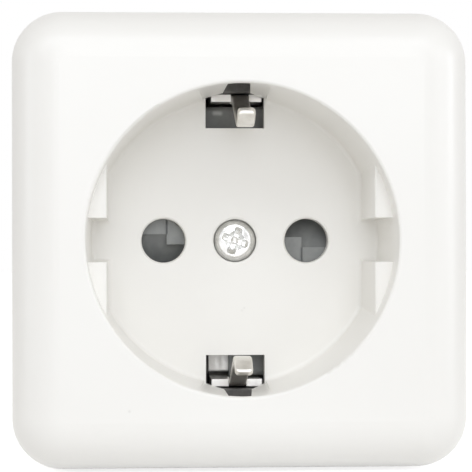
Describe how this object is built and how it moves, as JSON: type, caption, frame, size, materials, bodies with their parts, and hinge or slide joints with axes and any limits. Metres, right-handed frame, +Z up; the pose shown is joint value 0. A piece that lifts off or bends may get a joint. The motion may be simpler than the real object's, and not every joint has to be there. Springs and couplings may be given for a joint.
{
  "type": "type f wall socket",
  "caption": "White surface-mounted type F wall socket: square cap with rounded edges, round plug well, sprung earth clips and a turning child-protection shutter behind the pin holes.",
  "frame": {"origin": "centre of the back face that lies on the wall", "axes": "+Z up, +X to the right seen from the front, front facing -Y, wall at Y = 0"},
  "size_m": [0.0586, 0.042, 0.0586],
  "materials": {
    "white_plastic": "gloss moulded thermoset",
    "base_plastic": "plain moulded",
    "block_plastic": "dark moulded thermoset",
    "shutter_plastic": "satin moulded",
    "keeper_plastic": "natural nylon",
    "zinc_steel": "bright zinc plate",
    "nickel_strip": "bright nickel plate",
    "spring_steel": "bright spring steel",
    "contact_brass": "bright strip"
  },
  "bodies": {
    "housing": {"cover": "white_plastic", "base_plate": "base_plastic", "contact_block": "block_plastic", "shutter_tray": "shutter_plastic", "shutter_spring": "spring_steel", "screw_keeper": "keeper_plastic", "cover_screw": "zinc_steel", "block_screws": "zinc_steel", "terminal_screws": "zinc_steel", "terminal_clamps": "zinc_steel", "earth_strip": "nickel_strip", "earth_bush": "contact_brass", "line_contact": "contact_brass", "neutral_contact": "contact_brass", "contact_clasps": "spring_steel"},
    "shutter": {"shutter_rotor": "shutter_plastic"}
  },
  "joints": [
    {"name": "shutter_turn", "type": "hinge", "parent": "housing", "child": "shutter", "pos_m": [0, -0.0208, 0], "axis": [0, 1, 0], "range_deg": [0, 40], "stiffness_Nm_per_rad": 0.001, "springref_deg": -20.05, "deforming": ["shutter_spring"]}
  ]
}
